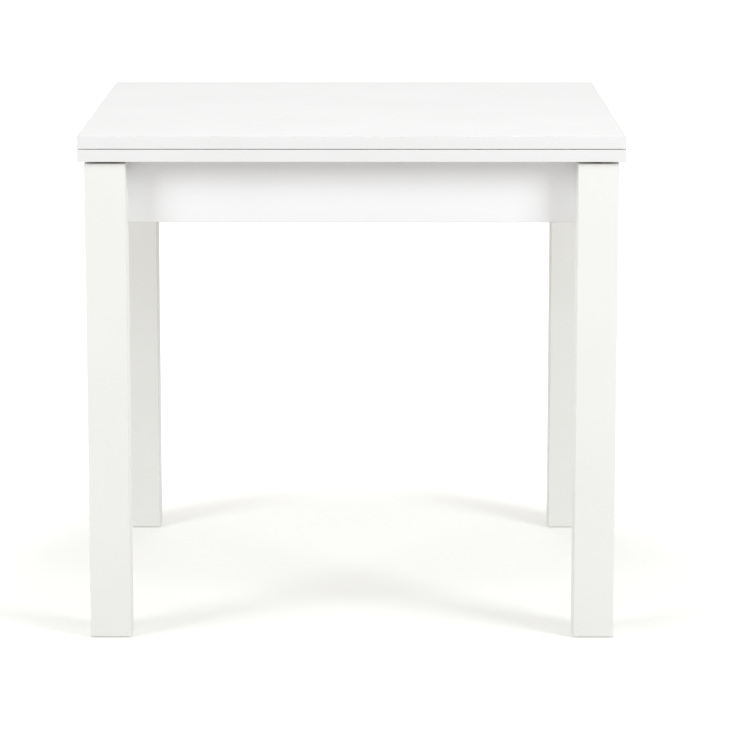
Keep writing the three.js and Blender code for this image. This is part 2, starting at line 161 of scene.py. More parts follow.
class Finish:
    """One material: constants go on the shader's own sockets, and what varies is linked later."""

    def __init__(self, name, **constants):
        self.material = bpy.data.materials.new(name)
        self.material.use_nodes = True
        self.tree = self.material.node_tree
        self.shader = self.tree.nodes["Principled BSDF"]
        self.feed(**constants)

    def feed(self, **values):
        """Sets or links the shader's sockets, with _ for each space in a socket's name."""
        for socket, value in values.items():
            self.connect(self.shader.inputs[socket.replace("_", " ")], value)
        return self.material

    def connect(self, socket, value):
        if isinstance(value, Value):
            self.tree.links.new(value.socket, socket)
        else:
            socket.default_value = value

    def node(self, kind, settings=(), sockets=(), output=0):
        """Adds a node. Its settings come first, because they decide which sockets it has."""
        made = self.tree.nodes.new("ShaderNode" + kind)
        for name, value in dict(settings).items():
            if name == "stops":
                self.set_stops(made.color_ramp, value)
            else:
                setattr(made, name, value)
        for name, value in dict(sockets).items():
            self.connect(made.inputs[name], value)
        return Value(self, made.outputs[output])

    def set_stops(self, ramp, stops):
        while len(ramp.elements) < len(stops):
            ramp.elements.new(1)
        for element, (position, colour) in zip(ramp.elements, stops):
            element.position = position
            element.color = (*colour, 1)

    def place(self, stretch=(1, 1, 1), turn=(0, 0, 0)):
        """Points of the piece in metres, stretched and turned before they reach a texture."""
        points = self.node("TexCoord", output="Object")
        sockets = {"Vector": points, "Scale": stretch, "Rotation": turn}
        return self.node("Mapping", sockets=sockets)

    def noise(self, period, detail=3, where=None):
        """Soft noise whose lumps are about one period across, in metres."""
        sockets = {"Vector": where or self.place(), "Scale": 1 / period, "Detail": detail}
        return self.node("TexNoise", sockets=sockets, output="Fac")

    def cells(self, period, feature="F1", where=None, output="Distance"):
        """Cells about one period across: the distance to a middle or an edge, or a colour each."""
        sockets = {"Vector": where or self.place(), "Scale": 1 / period}
        return self.node("TexVoronoi", {"feature": feature}, sockets, output)

    def mix(self, mask, a, b):
        """Colour a where the mask is 0, and colour b where it is 1."""
        first, second = (c if isinstance(c, Value) else (*c, 1) for c in (a, b))
        sockets = {MIX_MASK: mask, MIX_FIRST: first, MIX_SECOND: second}
        return self.node("Mix", {"data_type": "RGBA"}, sockets, MIX_RESULT)

    def bump(self, height, depth, below=None):
        """A normal from a height of 0 to 1, where 1 stands depth metres proud."""
        sockets = {"Height": height, "Distance": depth}
        if below:
            sockets["Normal"] = below
        return self.node("Bump", sockets=sockets, output="Normal")


print("shader helpers ready")


# %% [markdown]
# ## White melamine
#
# The boards and aprons are faced with white melamine paper, pressed on with a satin plate. The plate leaves
# a very fine pearl in the surface, about half a millimetre across, which breaks up a highlight. Wiping
# leaves broad, faint changes of gloss. The base colour hardly varies, as on real paper. The aprons get a
# greyer copy than the top. That difference is painted shade, set against the stronger light on their
# upright faces.

# %% Melamine
PEARL = 0.03 * MM
CLOUDED = 0.985


def melamine(name, white, gloss_low, gloss_high):
    finish = Finish(name, Specular_IOR_Level=0.32)
    cloud = finish.noise(160 * MM, detail=4)
    wiped = finish.noise(70 * MM, detail=5, where=finish.place(stretch=(1, 0.35, 1), turn=(0, 0, 0.5)))
    fine = finish.noise(0.6 * MM, detail=2)
    grit = finish.noise(2.2 * MM, detail=3)
    darker = tuple(channel * CLOUDED for channel in white)
    colour = finish.mix(cloud.smooth(0.35, 0.65), darker, white)
    gloss = gloss_low + (gloss_high - gloss_low) * wiped + 0.03 * fine
    surface = finish.bump(fine * 0.7 + grit * 0.3, PEARL)
    return finish.feed(Base_Color=colour, Roughness=gloss, Normal=surface)


top_melamine = melamine("top_melamine", (0.88, 0.88, 0.878), 0.54, 0.66)
# Painted shade: the aprons' copy of the melamine is greyer than the top's.
apron_melamine_painted_shade = melamine("apron_melamine_painted_shade", (0.825, 0.825, 0.825), 0.46, 0.56)
print("melamine", top_melamine.name, apron_melamine_painted_shade.name)


# %% [markdown]
# ## Wrapped foil
#
# The legs are fibreboard wrapped in a printed foil, a touch warmer than melamine. A wrapping line pulls the
# foil along the leg, so its faint ripple is long and narrow and runs up and down.

# %% Foil
def leg_foil_finish():
    finish = Finish("leg_foil", Specular_IOR_Level=0.4)
    darker, paler = (0.79, 0.795, 0.765), (0.805, 0.81, 0.782)
    ripple = finish.noise(12 * MM, detail=3, where=finish.place(stretch=(1, 1, 0.06)))
    pores = finish.noise(0.9 * MM, detail=2, where=finish.place(stretch=(1, 1, 0.2)))
    cloud = finish.noise(120 * MM, detail=4)
    colour = finish.mix(cloud.smooth(0.3, 0.7), darker, paler)
    gloss = 0.44 + 0.1 * cloud + 0.04 * pores
    surface = finish.bump(ripple, 0.05 * MM, below=finish.bump(pores, 0.025 * MM))
    return finish.feed(Base_Color=colour, Roughness=gloss, Normal=surface)


leg_foil = leg_foil_finish()
print("foil", leg_foil.name)


# %% [markdown]
# ## Edge banding
#
# The band is a strip of white plastic, glued round the boards and scraped flush. Scraping leaves hair-fine
# lines along the strip and a slightly different gloss from the melamine next to it.

# %% Banding
def band_finish():
    finish = Finish("edge_banding", Specular_IOR_Level=0.45)
    darker, paler = (0.755, 0.753, 0.748), (0.77, 0.768, 0.764)
    scraped = finish.noise(0.5 * MM, detail=2, where=finish.place(stretch=(0.02, 0.02, 1)))
    cloud = finish.noise(90 * MM, detail=3)
    colour = finish.mix(cloud.smooth(0.3, 0.7), darker, paler)
    gloss = 0.4 + 0.12 * scraped
    return finish.feed(Base_Color=colour, Roughness=gloss, Normal=finish.bump(scraped, 0.02 * MM))


edge_banding = band_finish()
print("banding", edge_banding.name)


# %% [markdown]
# ## Raw board
#
# Where a board is cut and not covered, such as a hinge recess or an apron's top edge, pressed wood shows:
# flat chips of several browns, with dark gaps between them. Voronoi cells give the chips, one colour each,
# and the distance to a cell's edge gives the gaps.

# %% Chips and gaps
CHIP = 2.8 * MM


def raw_board_finish():
    finish = Finish("raw_board", Roughness=0.85, Specular_IOR_Level=0.2)
    browns = [(0, (0.30, 0.185, 0.09)), (0.5, (0.44, 0.29, 0.155)), (1, (0.56, 0.41, 0.25))]
    gap_brown = (0.2, 0.12, 0.06)
    squashed = finish.place(stretch=(1, 1, 2.2))
    chip = finish.cells(CHIP, where=squashed, output="Color")
    shade = finish.node("SeparateColor", sockets={"Color": chip}, output="Red")
    solid = finish.cells(CHIP, feature="DISTANCE_TO_EDGE", where=squashed).smooth(0.0, 0.05)
    fibre = finish.noise(0.7 * MM, detail=4, where=finish.place(stretch=(0.3, 0.3, 1)))
    wood = finish.node("ValToRGB", {"stops": browns}, {"Fac": shade * 0.7 + fibre * 0.3}, "Color")
    colour = finish.mix(solid * 0.5 + 0.5, gap_brown, wood)
    surface = finish.bump(solid * 0.6 + fibre * 0.4, 0.15 * MM)
    return finish.feed(Base_Color=colour, Normal=surface)


raw_board = raw_board_finish()
print("raw board", raw_board.name)


# %% [markdown]
# ## Sealed fibreboard
#
# The legs are fibreboard, much finer than chipboard. Their sawn foot ends are brushed with a grey-white
# sealer against damp from the floor. It is thin, so the felted fibres and the brush marks still show.

# %% Sealed ends
def sealed_end_finish():
    finish = Finish("sealed_end", Roughness=0.8, Specular_IOR_Level=0.25)
    sealer, fibres = (0.68, 0.675, 0.66), (0.56, 0.545, 0.52)
    felted = finish.noise(0.8 * MM, detail=5)
    brushed = finish.noise(1.6 * MM, detail=3, where=finish.place(stretch=(0.06, 1, 1), turn=(0, 0, 0.3)))
    thin = (felted * 0.5 + brushed * 0.5).smooth(0.42, 0.6)
    surface = finish.bump(brushed * 0.6 + felted * 0.4, 0.08 * MM)
    return finish.feed(Base_Color=finish.mix(thin, sealer, fibres), Normal=surface)


sealed_end = sealed_end_finish()
print("sealed", sealed_end.name)


# %% [markdown]
# ## Beech
#
# The pivot rail is plain beech, planed and left bare. Its grain runs along the rail. Wide, soft bands come
# from the growth rings, and beech is known by its short dark flecks, a few millimetres long.

# %% Beech
RINGS_PER_METRE = 420


def beech_finish():
    finish = Finish("bare_beech", Specular_IOR_Level=0.25)
    early_wood, late_wood = (0.60, 0.40, 0.225), (0.70, 0.50, 0.30)
    fleck_brown = (0.42, 0.245, 0.12)
    bend = finish.noise(90 * MM, detail=2, where=finish.place(stretch=(0.25, 1, 1)))
    along = finish.place(stretch=(0.05, 1, 1))
    across = finish.node("SeparateXYZ", sockets={"Vector": along}, output="Y")
    rings = ((across * RINGS_PER_METRE + bend * 9).sine() * 0.5 + 0.5) ** 1.6
    pore = finish.noise(0.8 * MM, detail=3, where=finish.place(stretch=(0.04, 1, 1)))
    fleck = finish.cells(3.2 * MM, where=finish.place(stretch=(0.3, 1, 1))).smooth(0.2, 0.1)
    base = finish.mix(rings * 0.6 + pore * 0.4, early_wood, late_wood)
    colour = finish.mix(fleck * 0.55, base, fleck_brown)
    gloss = 0.55 + 0.15 * pore
    return finish.feed(Base_Color=colour, Roughness=gloss, Normal=finish.bump(pore, 0.06 * MM))


beech = beech_finish()
print("beech", beech.name)


# %% [markdown]
# ## Plated steel
#
# Brackets, bolts and nuts are zinc plated, and the hinges are nickel plated. Zinc has a cloudy, slightly
# blue bloom and a duller shine. Nickel is warmer and smoother. Both keep fine marks from rolling and
# tumbling, so one function makes them with different colours, gloss and marks.

# %% Zinc and nickel
def plated_steel(name, dull, bright, gloss, marks):
    finish = Finish(name, Metallic=1.0)
    bloom = finish.noise(9 * MM, detail=4)
    rolled = finish.noise(0.6 * MM, detail=2, where=finish.place(stretch=(0.08, 0.3, 1)))
    spots = finish.cells(4.5 * MM).smooth(0.1, 0.75)
    colour = finish.mix(bloom.smooth(0.3, 0.7) * 0.7 + spots * 0.3, dull, bright)
    shine = gloss + 0.16 * bloom + 0.08 * rolled
    surface = finish.bump(rolled * 0.6 + bloom * 0.4, marks)
    return finish.feed(Base_Color=colour, Roughness=shine, Normal=surface)


zinc = plated_steel("zinc_plate", (0.55, 0.565, 0.59), (0.68, 0.69, 0.705), 0.27, 0.03 * MM)
nickel = plated_steel("nickel_plate", (0.69, 0.675, 0.65), (0.74, 0.725, 0.7), 0.2, 0.012 * MM)
print("steel", zinc.name, nickel.name)


# %% [markdown]
# ## Moulded plastic
#
# Foot glides, the pivot bush and the lock nut's collar are moulded. A mould leaves a fine spark-eroded
# grain, and a foot glide picks up a little grey dirt where it meets the floor. The other two stay clean,
# because they stand far above the height that dirt reaches.

# %% Plastic
DIRT_HEIGHT = 1.2 * MM


def moulded(name, clean, dirty, gloss):
    finish = Finish(name, Specular_IOR_Level=0.45, Subsurface_Weight=0.04)
    grain = finish.noise(0.5 * MM, detail=2)
    height = finish.node("SeparateXYZ", sockets={"Vector": finish.place()}, output="Z")
    patches = finish.noise(6 * MM, detail=4).smooth(0.4, 0.75)
    dirt = (1 - height.smooth(0, DIRT_HEIGHT)) * patches
    shine = gloss + 0.15 * patches + 0.05 * grain
    surface = finish.bump(grain, 0.03 * MM)
    return finish.feed(Base_Color=finish.mix(dirt, clean, dirty), Roughness=shine, Normal=surface)


glide_plastic = moulded("glide_plastic", (0.63, 0.62, 0.58), (0.46, 0.45, 0.42), 0.42)
nylon = moulded("nylon", (0.78, 0.75, 0.66), (0.6, 0.57, 0.5), 0.38)
collar_nylon = moulded("collar_nylon", (0.1, 0.22, 0.5), (0.08, 0.16, 0.4), 0.35)
print("plastic", glide_plastic.name, nylon.name, collar_nylon.name)


# %% [markdown]
# ## Felt and clear dots
#
# The top slides on pressed wool felt: tangled fibres in greys, with a soft sheen at grazing angles. The
# dots under the leaf are clear rubber, a little cloudy inside.

# %% Felt and rubber
def felt_finish():
    finish = Finish("pressed_felt", Roughness=0.95, Sheen_Weight=0.6, Sheen_Roughness=0.5)
    dark_wool, light_wool = (0.16, 0.158, 0.155), (0.36, 0.355, 0.345)
    strands = [
        finish.noise(1.1 * MM, detail=4, where=finish.place(stretch=stretch, turn=turn))
        for stretch, turn in (((1, 0.12, 1), (0, 0, 0.4)), ((0.12, 1, 1), (0, 0, 1.1)))
    ]
    tangle = strands[0] * 0.5 + strands[1] * 0.5
    colour = finish.mix(tangle.smooth(0.35, 0.65), dark_wool, light_wool)
    return finish.feed(Base_Color=colour, Normal=finish.bump(tangle, 0.3 * MM))


def clear_rubber_finish():
    finish = Finish("clear_rubber", Transmission_Weight=0.75, IOR=1.48)
    cloud = finish.noise(3 * MM, detail=3)
    colour = finish.mix(cloud, (0.86, 0.88, 0.87), (0.94, 0.95, 0.945))
    shine = 0.12 + 0.2 * cloud
    return finish.feed(Base_Color=colour, Roughness=shine, Normal=finish.bump(cloud, 0.01 * MM))


felt = felt_finish()
clear_rubber = clear_rubber_finish()
print("soft", felt.name, clear_rubber.name)


# %% [markdown]
# ## Turning a mesh into a piece
#
# Every piece rides on the body of the CAD node that it stands for, and takes the finishes it is given.
# Corners that nearly meet are joined first, so that no face is a sliver. Faces are smooth except across
# edges sharper than 32 degrees, and a weighted-normal modifier keeps wide flat faces flat where they meet
# a rounded edge.

# %% Pieces
SHARP = math.radians(32)
SLIVER = 0.002 * MM
record = frame["record"]
body_of = {node: body for body, nodes in record["behaviour"]["bodies"].items() for node in nodes}


def piece(name, shape, node, finishes, stands_for=()):
    """Makes an object from a bmesh, on the body of a CAD node, with the finishes given, in place of some
    nodes.
    """
    bmesh.ops.remove_doubles(shape, verts=shape.verts, dist=SLIVER)
    bmesh.ops.dissolve_degenerate(shape, edges=shape.edges, dist=SLIVER)
    for face in shape.faces:
        face.smooth = True
    for edge in shape.edges:
        edge.smooth = edge.calc_face_angle(0) < SHARP
    mesh = bpy.data.meshes.new(name)
    shape.to_mesh(mesh)
    shape.free()
    for finish in finishes:
        mesh.materials.append(finish)
    made = bpy.data.objects.new(name, mesh)
    bpy.context.scene.collection.objects.link(made)
    weighted = made.modifiers.new("flat faces stay flat", "WEIGHTED_NORMAL")
    weighted.keep_sharp = True
    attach(made, body_of[node])
    if stands_for:
        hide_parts(*stands_for)
    return made


# %% [markdown]
# ## Sawn pieces
#
# Boards, aprons, legs and the rail already have their exact shape in the CAD model, with every recess. A
# copy of that mesh is cleaned, so each flat face is whole again, and then its long edges are rounded, as
# foil, melamine and sandpaper round them.

# %% Copy and round
SAME_POINT = 0.001 * MM
SAME_PLANE = math.radians(0.5)


def from_cad(node):
    """A bmesh copy of a CAD node, with its corners joined and its flat faces whole."""
    shape = bmesh.new()
    shape.from_mesh(frame["nodes"][node].data)
    bmesh.ops.remove_doubles(shape, verts=shape.verts, dist=SAME_POINT)
    bmesh.ops.dissolve_limit(shape, angle_limit=SAME_PLANE, verts=shape.verts, edges=shape.edges)
    return shape


def round_edges(shape, radius, chosen, steps=3, angle=SHARP, clamp=False):
    """Rounds the chosen edges that are sharper than an angle, and says how many they were."""
    edges = [e for e in shape.edges if e.is_manifold and e.calc_face_angle(0) > angle and chosen(e)]
    bmesh.ops.bevel(
        shape,
        geom=edges,
        offset=radius,
        offset_type="OFFSET",
        segments=steps,
        profile=0.5,
        affect="EDGES",
        clamp_overlap=clamp,
    )
    return len(edges)


print("a CAD leg has", len(frame["nodes"]["leg_front_left"].data.polygons), "triangles")


# %% [markdown]
# Which edges get rounded is said with small tests of one edge: how long it is, whether it stands upright,
# whether it lies in one flat plane, and whether it keeps clear of the middle of the piece.

# %% Choose edges
X, Y, Z = range(3)
ON_PLANE = 0.01 * MM
UPRIGHT = 0.99


def longer_than(least):
    return lambda edge: edge.calc_length() > least


def lies_on(edge, axis, level):
    return all(abs(v.co[axis] - level) < ON_PLANE for v in edge.verts)


def is_upright(edge):
    return abs((edge.verts[0].co - edge.verts[1].co).normalized().z) > UPRIGHT


def clear_of(edge, centre, reach):
    """True if both ends lie outside a square column round a centre, which reaches so far each way."""
    return all(max(abs(v.co.x - centre.x), abs(v.co.y - centre.y)) > reach for v in edge.verts)


def outline_of(axis, level, least):
    """Picks the long edges in one plane, such as the outer face of a band."""
    return lambda edge: edge.calc_length() > least and lies_on(edge, axis, level)


print("edge tests ready")


# %% [markdown]
# A cut or a recess shows another finish, such as raw board. Its faces are picked by how deep they lie
# inside the piece's box, or by the way they look. A plane cuts a piece in two where the real one is two.

# %% Mark faces and cut
FACING = 0.999
SAME_LEVEL = 0.1 * MM


def extents(shape):
    points = [v.co for v in shape.verts]
    low = Vector([min(p[i] for p in points) for i in (X, Y, Z)])
    high = Vector([max(p[i] for p in points) for i in (X, Y, Z)])
    return low, high


def mark_inside(shape, depth):
    """Gives faces that lie deeper than depth inside the piece's box its second finish."""
    low, high = extents(shape)
    count = 0
    for face in shape.faces:
        c = face.calc_center_median()
        if all(low[i] + depth < c[i] < high[i] - depth for i in (X, Y, Z)):
            face.material_index = 1
            count += 1
    return count


def mark_facing(shape, direction, level):
    """Gives flat faces that look one way, at one height, its second finish."""
    for face in shape.faces:
        looks_there = face.normal.dot(Vector(direction)) >= FACING
        if looks_there and abs(face.calc_center_median().z - level) < SAME_LEVEL:
            face.material_index = 1


def slice_off(shape, point, normal):
    """Keeps what lies behind a plane, and closes the cut."""
    cut = bmesh.ops.bisect_plane(
        shape,
        geom=[*shape.verts, *shape.edges, *shape.faces],
        plane_co=point,
        plane_no=normal,
        clear_outer=True,
    )
    rim = [g for g in cut["geom_cut"] if isinstance(g, bmesh.types.BMEdge)]
    bmesh.ops.holes_fill(shape, edges=rim, sides=0)
    return shape


print("marking and cutting ready")


# %% [markdown]
# ## The two boards
#
# Each board is an 18 mm chipboard core, white on both faces, inside a one-millimetre band. The core's
# edge against the band is eased by a tenth of a millimetre: that is the hairline seen round a banded top.

# %% Boards
EASE = 0.12 * MM
for node, name in (("leaf_board", "leaf_panel"), ("lower_board", "lower_panel")):
    shape = from_cad(node)
    rounded = round_edges(shape, EASE, longer_than(100 * MM), steps=1)
    raw = mark_inside(shape, depth=0.3 * MM)
    piece(name, shape, node, [top_melamine, raw_board], [node])
    print(name, "edges eased", rounded, "raw faces", raw)


# %% [markdown]
# ## The bands
#
# A band is four strips. The front and back strips run the full width, and the side strips fit between
# them, so each corner shows one fine upright joint. The strips are cut from the CAD ring by planes, a
# twentieth of a millimetre apart at the joints, and their outer edges get the usual scraped radius.

# %% Bands
BAND_RADIUS = 0.7 * MM
JOINT = 0.05 * MM
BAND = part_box("lower_edge_band")[1].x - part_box("lower_board")[1].x


def band_strip(node, side):
    """One of the four strips of a band, cut out of the ring, with the plane of its outer face."""
    low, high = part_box(node)
    axis = Y if side in ("front", "back") else X
    sign = 1 if side in ("back", "right") else -1
    outward = Vector((0, 0, 0))
    outward[axis] = sign
    face = high[axis] if sign > 0 else -low[axis]
    shape = slice_off(from_cad(node), outward * (face - BAND), -outward)
    if axis == X:
        for across in (-1, 1):
            end = Vector((0, across * (high.y - BAND - JOINT), 0))
            shape = slice_off(shape, end, Vector((0, across, 0)))
    return shape, axis, (outward * face)[axis]


for node, board in (("leaf_edge_band", "leaf"), ("lower_edge_band", "lower")):
    for side in SIDES:
        shape, axis, level = band_strip(node, side)
        count = round_edges(shape, BAND_RADIUS, outline_of(axis, level, 20 * MM))
        stands_for = [node] if side == "front" else []
        piece(f"{board}_band_{side}", shape, node, [edge_banding], stands_for)
    print(board, "band strips made, last one rounded on", count, "edges")


# %% [markdown]
# ## Aprons
#
# An apron is the same white board, banded only along its bottom edge. Its top edge stays raw because the
# top covers it. The saw kerfs for the brackets and the housings for the rail show raw board too.

# %% Aprons
UP, DOWN = Vector((0, 0, 1)), Vector((0, 0, -1))
for side in SIDES:
    node = f"apron_{side}"
    low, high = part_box(node)
    cut = Vector((0, 0, low.z + BAND))
    core = slice_off(from_cad(node), cut, DOWN)
    strip = slice_off(from_cad(node), cut, UP)
    round_edges(strip, BAND_RADIUS, outline_of(Z, low.z, 50 * MM))
    round_edges(core, EASE, longer_than(150 * MM), steps=1)
    raw = mark_inside(core, depth=0.6 * MM)
    mark_facing(core, UP, level=high.z)
    # The apron's melamine is the greyer copy, painted shade on its upright faces.
    piece(f"apron_panel_{side}", core, node, [apron_melamine_painted_shade, raw_board], [node])
    piece(f"apron_band_{side}", strip, node, [edge_banding])
    print(node, "raw faces", raw)


# %% [markdown]
# ## Legs
#
# A wrapped leg has a small even radius along its four corners, where the foil bends. The foil is folded
# over the top end too, because that can be seen when the top swings aside. The foot end is sawn, slightly
# eased and sealed.

# %% Legs
LEG_RADIUS = 1.4 * MM
LEG_END = 0.4 * MM
GLIDE_REACH = 20 * MM
for corner in CORNERS:
    node = f"leg_{corner}"
    low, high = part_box(node)
    centre = (low + high) / 2
    shape = from_cad(node)
    count = round_edges(
        shape,
        LEG_RADIUS,
        lambda edge: edge.calc_length() > 100 * MM and is_upright(edge),
        steps=4,
    )
    round_edges(
        shape,
        LEG_END,
        lambda edge: lies_on(edge, Z, low.z) and clear_of(edge, centre, GLIDE_REACH),
        steps=2,
    )
    mark_facing(shape, DOWN, level=low.z)
    mark_inside(shape, depth=2.5 * MM)
    piece(f"leg_wrapped_{corner}", shape, node, [leg_foil, sealed_end], [node])
    print(node, "corners rounded", count)


# %% [markdown]
# ## The pivot rail
#
# The rail carries the swivel. It is planed beech with its long edges broken by a pass of sandpaper.

# %% Rail
shape = from_cad("pivot_rail")
count = round_edges(shape, 0.8 * MM, longer_than(300 * MM))
piece("pivot_rail_beech", shape, "pivot_rail", [beech], ["pivot_rail"])
print("rail edges broken", count)


# %% [markdown]
# ## Pieces made of rings
#
# Bolts, nuts, washers, glides and bushes are rings of points joined one above the other. A plain turned
# piece has round rings, a hexagon nut has rings that follow a hexagon, and a thread has rings whose radius
# goes in and out once per turn. One function joins the rings, closed at its ends or into a loop.

# %% Rings
def joined(rings, loop=False):
    """A closed shape through rings that all have the same number of points."""
    shape = bmesh.new()
    rows = [[shape.verts.new(point) for point in ring] for ring in rings]
    pairs = list(zip(rows, rows[1:]))
    if loop:
        pairs.append((rows[-1], rows[0]))
    for below, above in pairs:
        for i, start in enumerate(below):
            j = (i + 1) % len(below)
            shape.faces.new((start, below[j], above[j], above[i]))
    if not loop:
        shape.faces.new(list(reversed(rows[0])))
        shape.faces.new(rows[-1])
    bmesh.ops.recalc_face_normals(shape, faces=shape.faces)
    return shape


def ring_point(radius, turn, height):
    return Vector((radius * math.cos(turn), radius * math.sin(turn), height))


def round_ring(radius, height, points=48):
    return [ring_point(radius, math.tau * i / points, height) for i in range(points)]


def turned(outline, loop=False, points=48):
    return joined([round_ring(r, z, points) for r, z in outline], loop)


def arc(centre_r, centre_z, radius, start, end, steps=5):
    """Outline points along part of a circle, in degrees."""
    angles = [math.radians(start + (end - start) * i / steps) for i in range(steps + 1)]
    return [(centre_r + radius * math.cos(a), centre_z + radius * math.sin(a)) for a in angles]


def middle(node):
    """The middle of a CAD node's box, and its size."""
    low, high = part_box(node)
    return (low + high) / 2, high - low


def moved(shape, matrix):
    shape.transform(matrix)
    return shape


print("a round ring has", len(round_ring(1, 0)), "points")


# %% [markdown]
# ## Threads
#
# An M8 thread climbs 1.25 mm each turn. Each ring's radius is the thread's outer radius less a triangle
# wave of its height and angle, so the crest runs up as a helix. The wave fades out at both ends, as a
# rolled thread does.

# %% Threads
THREAD_DEPTH = 0.6
THREAD_FADE = 1.5
RINGS_PER_TURN = 6


def thread_rings(radius, pitch, start, end, points=24):
    """Rings of a thread from start to end. Its depth and its fade are shares of the pitch."""
    depth = THREAD_DEPTH * pitch
    fade = THREAD_FADE * pitch
    count = int((end - start) / pitch * RINGS_PER_TURN)
    rings = []
    for k in range(count + 1):
        z = start + (end - start) * k / count
        crest = min(1, min(z - start, end - z) / fade)
        ring = []
        for i in range(points):
            turn = i / points
            wave = abs(((z / pitch - turn) % 1) - 0.5) * 2
            r = radius - depth * (1 - crest * (1 - wave))
            ring.append(ring_point(r, math.tau * turn, z))
        rings.append(ring)
    return rings


print("10 mm of M8 thread has", len(thread_rings(4 * MM, 1.25 * MM, 0, 10 * MM)), "rings")


# %% [markdown]
# ## Hexagon nuts
#
# A nut's corners are turned down at the top, so each flat ends in a shallow curve. The radius at an angle
# follows the hexagon, and the top ring sinks by the extra radius times the chamfer's slope: the curves
# come out by themselves. A flange nut stands on a round foot that slopes up to the hexagon.

# %% Nuts
CHAMFER_SLOPE = math.tan(math.radians(30))
BORE_EASE = 0.5 * MM
WASHER_FACE = 0.98
PLAIN_FOOT = 0.6 * MM
FLANGE_RIM = 0.4 * MM
FLANGE_DRAFT = 0.15 * MM
FLANGE_THICK = 1.3 * MM
FLANGE_SLOPE_TOP = 2.6 * MM


def hex_radius(flat, turn):
    """The radius of a hexagon with that half width across flats."""
    sixth = math.radians(60)
    return flat / math.cos((turn % sixth) - sixth / 2)


def hex_ring(flat, height, points, sink=False):
    ring = []
    for i in range(points):
        turn = math.tau * i / points
        r = hex_radius(flat, turn)
        z = height - (r - flat) * CHAMFER_SLOPE if sink else height
        ring.append(ring_point(r, turn, z))
    return ring


def hex_nut(flat, bore, height, flange=None, points=72):
    """Along +Z from 0: foot or flange, flats, chamfered top and a bore with eased rims."""
    rings = [round_ring(bore, BORE_EASE, points), round_ring(bore + BORE_EASE, 0, points)]
    if flange:
        foot = [(flange - FLANGE_RIM, 0), (flange, FLANGE_RIM), (flange - FLANGE_DRAFT, FLANGE_THICK)]
        rings += [round_ring(r, z, points) for r, z in foot]
        rings.append(hex_ring(flat, FLANGE_SLOPE_TOP, points))
    else:
        rings += [round_ring(flat, 0, points), hex_ring(flat, PLAIN_FOOT, points)]
    rings.append(hex_ring(flat, height, points, sink=True))
    rings.append(round_ring(flat * WASHER_FACE, height, points))
    rings.append(round_ring(bore + BORE_EASE, height, points))
    rings.append(round_ring(bore, height - BORE_EASE, points))
    return joined(rings, loop=True)


print("a 13 mm hexagon is", round(2 * hex_radius(6.5, 0), 1), "mm across corners")


# %% [markdown]
# ## Corner hardware
#
# In each corner a hanger bolt stands in the leg, crosses the corner on the diagonal and pulls the leg up
# against the aprons through a folded steel bracket. The bolt's place and length come from its CAD box. It
# has a coarse thread where it stands in the wood, a short neck, and a machine thread up to its free end.

# %% Bolts, nuts and brackets
BOLT_PITCH = 1.25 * MM
WOOD_PITCH = 2.6 * MM
WOOD_THREAD_END = 0.38
MACHINE_THREAD_START = 0.45
WOOD_THREAD_WIDTH = 0.97
M8_FLAT = 6.5 * MM
NUT_ROOM = 0.1 * MM
BEND_RADIUS = 0.9 * MM


def along_diagonal(node, corner):
    """The matrix that stands a +Z piece on a diagonal CAD piece's outer end, its length and its radius."""
    centre, size = middle(node)
    radius = size.z / 2
    length = size.x * math.sqrt(2) - 2 * radius
    way = Vector((1 if "left" in corner else -1, 1 if "front" in corner else -1, 0)).normalized()
    turn = way.to_track_quat("Z", "Y").to_matrix().to_4x4()
    return Matrix.Translation(centre - way * length / 2) @ turn, length, radius


def is_bend(edge):
    folded = edge.calc_face_angle(0) < math.radians(100)
    return folded and is_upright(edge) and edge.calc_length() > 40 * MM


for corner in CORNERS:
    node = f"hanger_bolt_{corner}"
    bolt_at, length, radius = along_diagonal(node, corner)
    wood_end = thread_rings(radius * WOOD_THREAD_WIDTH, WOOD_PITCH, 0, WOOD_THREAD_END * length)
    machine_end = thread_rings(radius, BOLT_PITCH, MACHINE_THREAD_START * length, length)
    bolt = joined(wood_end + machine_end)
    piece(f"threaded_bolt_{corner}", moved(bolt, bolt_at), node, [zinc], [node])
    node = f"flange_nut_{corner}"
    nut_at, height, flange = along_diagonal(node, corner)
    nut = hex_nut(M8_FLAT, radius + NUT_ROOM, height, flange)
    piece(f"nut_{corner}", moved(nut, nut_at), node, [zinc], [node])
    node = f"corner_bracket_{corner}"
    shape = from_cad(node)
    bends = round_edges(shape, BEND_RADIUS, is_bend, steps=4, angle=math.radians(30), clamp=True)
    piece(f"folded_bracket_{corner}", shape, node, [zinc], [node])
print("corner hardware made, bends rounded", bends)


# %% [markdown]
# ## Foot glides
#
# A glide is a low plastic disc on a nail. Its floor face has a rounded rim and a shallow dish with the
# nail's domed head in the middle, a little above the floor. Outlines of turned pieces start and end just
# off the axis, and the small flat there is closed by one face.

# %% Glides
AXIS = 0.2 * MM
GLIDE_RIM = 0.8 * MM
DISH = 0.9 * MM
STEM = 2.9 * MM
STEM_POINT = 2 * MM
NAIL_HEAD = 3.2 * MM
NAIL_BACK = 1.1 * MM
NAIL_DOME = 0.6 * MM


def nail_outline():
    """A domed head, seen from the floor, on a flat back that lies in the dish."""
    radii = [r * MM for r in (0.05, 0.8, 1.6, 2.4, 2.9, 3.2)]
    dome = [(r, DISH - NAIL_DOME * math.cos(r / NAIL_HEAD * math.pi / 2)) for r in radii]
    return [*dome, (NAIL_HEAD, NAIL_BACK), (radii[0], NAIL_BACK)]


